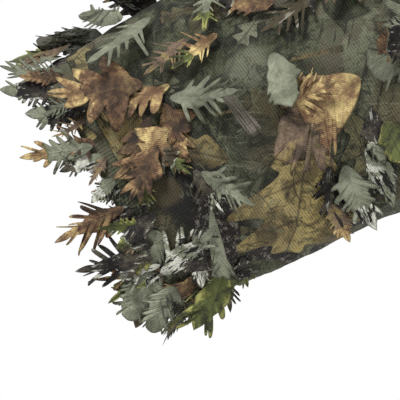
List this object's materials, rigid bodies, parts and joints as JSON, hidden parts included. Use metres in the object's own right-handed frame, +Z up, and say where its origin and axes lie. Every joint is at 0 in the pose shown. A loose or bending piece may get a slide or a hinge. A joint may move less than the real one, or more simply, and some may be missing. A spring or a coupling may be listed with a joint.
{
  "type": "ghillie suit",
  "caption": "Leafy camouflage suit in its worn shape: hooded jacket with a front zip and wide sleeves, over loose trousers, covered in oak-leaf flaps.",
  "frame": {"origin": "centre of the neck opening, on the seam between jacket and collar", "axes": "+Z up through the hood, -Y towards the wearer's front, -X towards the wearer's right hand"},
  "size_m": [1.6258, 0.288, 1.7703],
  "materials": {
    "camo_cloth": "matt printed woven polyester with die-cut leaves sewn on",
    "binding": "matt woven tape",
    "sage_leaf": "matt",
    "rust_leaf": "matt",
    "tan_leaf": "matt",
    "moss_leaf": "matt",
    "bark_leaf": "matt",
    "zip_teeth": "satin moulded",
    "zip_metal": "satin dark paint"
  },
  "bodies": {
    "jacket": {"jacket_back": "camo_cloth", "jacket_front_right": "camo_cloth", "jacket_front_left": "camo_cloth", "hem_band": "binding", "collar_band": "camo_cloth", "hanger_loop": "binding", "zip_teeth_right": "zip_teeth", "zip_tape_right": "binding", "zip_top_stop_right": "zip_metal", "zip_teeth_left": "zip_teeth", "zip_tape_left": "binding", "zip_top_stop_left": "zip_metal", "zip_bottom_box": "zip_metal"},
    "hood": {"hood_neck_gusset": "camo_cloth", "hood_edge_binding": "binding", "hood_centre_panel": "camo_cloth", "hood_right_panel": "camo_cloth", "hood_left_panel": "camo_cloth"},
    "zip_slider": {"zip_slider": "zip_metal"},
    "zip_pull": {"zip_pull": "zip_metal"},
    "right_sleeve": {"right_sleeve_head": "camo_cloth", "right_upper_sleeve": "camo_cloth"},
    "right_forearm": {"right_elbow": "camo_cloth", "right_forearm_sleeve": "camo_cloth", "right_cuff_band": "binding"},
    "left_sleeve": {"left_sleeve_head": "camo_cloth", "left_upper_sleeve": "camo_cloth"},
    "left_forearm": {"left_elbow": "camo_cloth", "left_forearm_sleeve": "camo_cloth", "left_cuff_band": "binding"},
    "trouser_seat": {"waistband": "binding", "trouser_front": "camo_cloth", "trouser_seat": "camo_cloth"},
    "right_thigh": {"right_hip": "camo_cloth", "right_thigh": "camo_cloth"},
    "right_shin": {"right_knee": "camo_cloth", "right_shin": "camo_cloth", "right_leg_cuff": "binding"},
    "left_thigh": {"left_hip": "camo_cloth", "left_thigh": "camo_cloth"},
    "left_shin": {"left_knee": "camo_cloth", "left_shin": "camo_cloth", "left_leg_cuff": "binding"},
    "cuff_leaf_top": {"cuff_leaf_top": "sage_leaf"},
    "cuff_leaf_golden": {"cuff_leaf_golden": "tan_leaf"},
    "cuff_leaf_rust": {"cuff_leaf_rust": "rust_leaf"},
    "cuff_leaf_charcoal": {"cuff_leaf_charcoal": "bark_leaf"},
    "cuff_leaf_fan": {"cuff_leaf_fan": "sage_leaf"},
    "sleeve_leaf_moss": {"sleeve_leaf_moss": "moss_leaf"},
    "sleeve_leaf_gold": {"sleeve_leaf_gold": "tan_leaf"},
    "sleeve_leaf_brown": {"sleeve_leaf_brown": "rust_leaf"},
    "sleeve_leaf_sage": {"sleeve_leaf_sage": "sage_leaf"},
    "sleeve_leaf_grey": {"sleeve_leaf_grey": "sage_leaf"},
    "sleeve_leaf_broad": {"sleeve_leaf_broad": "tan_leaf"},
    "sleeve_leaf_snow": {"sleeve_leaf_snow": "bark_leaf"}
  },
  "joints": [
    {"name": "hood_tip_back", "type": "hinge", "parent": "jacket", "child": "hood", "pos_m": [0, 0.07, 0.058], "axis": [-1, 0, 0], "range_deg": [0, 45], "deforming": ["hood_neck_gusset"]},
    {"name": "zip_slide", "type": "slide", "parent": "jacket", "child": "zip_slider", "axis": [0, -0.0852, -0.9964], "range_m": [0, 0.72]},
    {"name": "zip_pull_swing", "type": "hinge", "parent": "zip_slider", "child": "zip_pull", "pos_m": [0, -0.08336, 0.02811], "axis": [-1, 0, 0], "range_deg": [0, 150]},
    {"name": "right_shoulder", "type": "hinge", "parent": "jacket", "child": "right_sleeve", "pos_m": [-0.24, 0, -0.2], "axis": [0, 1, 0], "range_deg": [-20, 35], "deforming": ["right_sleeve_head"]},
    {"name": "right_elbow_bend", "type": "hinge", "parent": "right_sleeve", "child": "right_forearm", "pos_m": [-0.54186, 0, -0.35647], "axis": [-0.4602, 0, 0.8878], "range_deg": [0, 55], "deforming": ["right_elbow"]},
    {"name": "left_shoulder", "type": "hinge", "parent": "jacket", "child": "left_sleeve", "pos_m": [0.24, 0, -0.2], "axis": [0, -1, 0], "range_deg": [-20, 35], "deforming": ["left_sleeve_head"]},
    {"name": "left_elbow_bend", "type": "hinge", "parent": "left_sleeve", "child": "left_forearm", "pos_m": [0.54186, 0, -0.35647], "axis": [-0.4602, 0, -0.8878], "range_deg": [0, 55], "deforming": ["left_elbow"]},
    {"name": "trousers_pull_down", "type": "slide", "parent": "jacket", "child": "trouser_seat", "axis": [0, 0, -1], "range_m": [0, 0.4]},
    {"name": "right_hip_bend", "type": "hinge", "parent": "trouser_seat", "child": "right_thigh", "pos_m": [-0.131, 0, -0.83], "axis": [-1, 0, 0], "range_deg": [-15, 45], "deforming": ["right_hip"]},
    {"name": "right_knee_bend", "type": "hinge", "parent": "right_thigh", "child": "right_shin", "pos_m": [-0.15, 0, -1.11], "axis": [1, 0, 0], "range_deg": [0, 50], "deforming": ["right_knee"]},
    {"name": "left_hip_bend", "type": "hinge", "parent": "trouser_seat", "child": "left_thigh", "pos_m": [0.131, 0, -0.83], "axis": [-1, 0, 0], "range_deg": [-15, 45], "deforming": ["left_hip"]},
    {"name": "left_knee_bend", "type": "hinge", "parent": "left_thigh", "child": "left_shin", "pos_m": [0.15, 0, -1.11], "axis": [1, 0, 0], "range_deg": [0, 50], "deforming": ["left_knee"]},
    {"name": "cuff_leaf_top_lift", "type": "hinge", "parent": "right_forearm", "child": "cuff_leaf_top", "pos_m": [-0.78284, -0.03251, -0.40005], "axis": [-0.0329, 0.4786, 0.8774], "range_deg": [0, 60], "stiffness_Nm_per_rad": 0.002},
    {"name": "cuff_leaf_golden_lift", "type": "hinge", "parent": "right_forearm", "child": "cuff_leaf_golden", "pos_m": [-0.76395, -0.04452, -0.43865], "axis": [-0.2068, 0.1816, 0.9614], "range_deg": [0, 60], "stiffness_Nm_per_rad": 0.002},
    {"name": "cuff_leaf_rust_lift", "type": "hinge", "parent": "right_forearm", "child": "cuff_leaf_rust", "pos_m": [-0.74332, -0.04578, -0.47846], "axis": [-0.3313, -0.0601, 0.9416], "range_deg": [0, 60], "stiffness_Nm_per_rad": 0.002},
    {"name": "cuff_leaf_charcoal_lift", "type": "hinge", "parent": "right_forearm", "child": "cuff_leaf_charcoal", "pos_m": [-0.72519, -0.03957, -0.51127], "axis": [-0.0695, -0.3101, 0.9482], "range_deg": [0, 60], "stiffness_Nm_per_rad": 0.002},
    {"name": "cuff_leaf_fan_lift", "type": "hinge", "parent": "right_forearm", "child": "cuff_leaf_fan", "pos_m": [-0.71079, -0.03011, -0.53034], "axis": [-0.7645, -0.4569, 0.4547], "range_deg": [0, 60], "stiffness_Nm_per_rad": 0.002},
    {"name": "sleeve_leaf_moss_lift", "type": "hinge", "parent": "right_forearm", "child": "sleeve_leaf_moss", "pos_m": [-0.67698, -0.02748, -0.5217], "axis": [-0.87, -0.4048, 0.2816], "range_deg": [0, 60], "stiffness_Nm_per_rad": 0.002},
    {"name": "sleeve_leaf_gold_lift", "type": "hinge", "parent": "right_forearm", "child": "sleeve_leaf_gold", "pos_m": [-0.73073, -0.04328, -0.39627], "axis": [-0.3203, 0.344, 0.8827], "range_deg": [0, 60], "stiffness_Nm_per_rad": 0.002},
    {"name": "sleeve_leaf_brown_lift", "type": "hinge", "parent": "right_forearm", "child": "sleeve_leaf_brown", "pos_m": [-0.72076, -0.04862, -0.43724], "axis": [-0.9225, 0.0481, 0.3829], "range_deg": [0, 60], "stiffness_Nm_per_rad": 0.002},
    {"name": "sleeve_leaf_sage_lift", "type": "hinge", "parent": "right_forearm", "child": "sleeve_leaf_sage", "pos_m": [-0.71177, -0.04766, -0.40677], "axis": [-0.0879, -0.1674, -0.982], "range_deg": [0, 60], "stiffness_Nm_per_rad": 0.002},
    {"name": "sleeve_leaf_grey_lift", "type": "hinge", "parent": "right_forearm", "child": "sleeve_leaf_grey", "pos_m": [-0.69167, -0.04932, -0.45423], "axis": [-0.5392, 0.0318, -0.8416], "range_deg": [0, 60], "stiffness_Nm_per_rad": 0.002},
    {"name": "sleeve_leaf_broad_lift", "type": "hinge", "parent": "right_forearm", "child": "sleeve_leaf_broad", "pos_m": [-0.58633, -0.05766, -0.39236], "axis": [-0.647, -0.0676, 0.7594], "range_deg": [0, 60], "stiffness_Nm_per_rad": 0.002},
    {"name": "sleeve_leaf_snow_lift", "type": "hinge", "parent": "right_forearm", "child": "sleeve_leaf_snow", "pos_m": [-0.59478, -0.04695, -0.44994], "axis": [-0.9277, -0.0385, -0.3714], "range_deg": [0, 60], "stiffness_Nm_per_rad": 0.002}
  ]
}
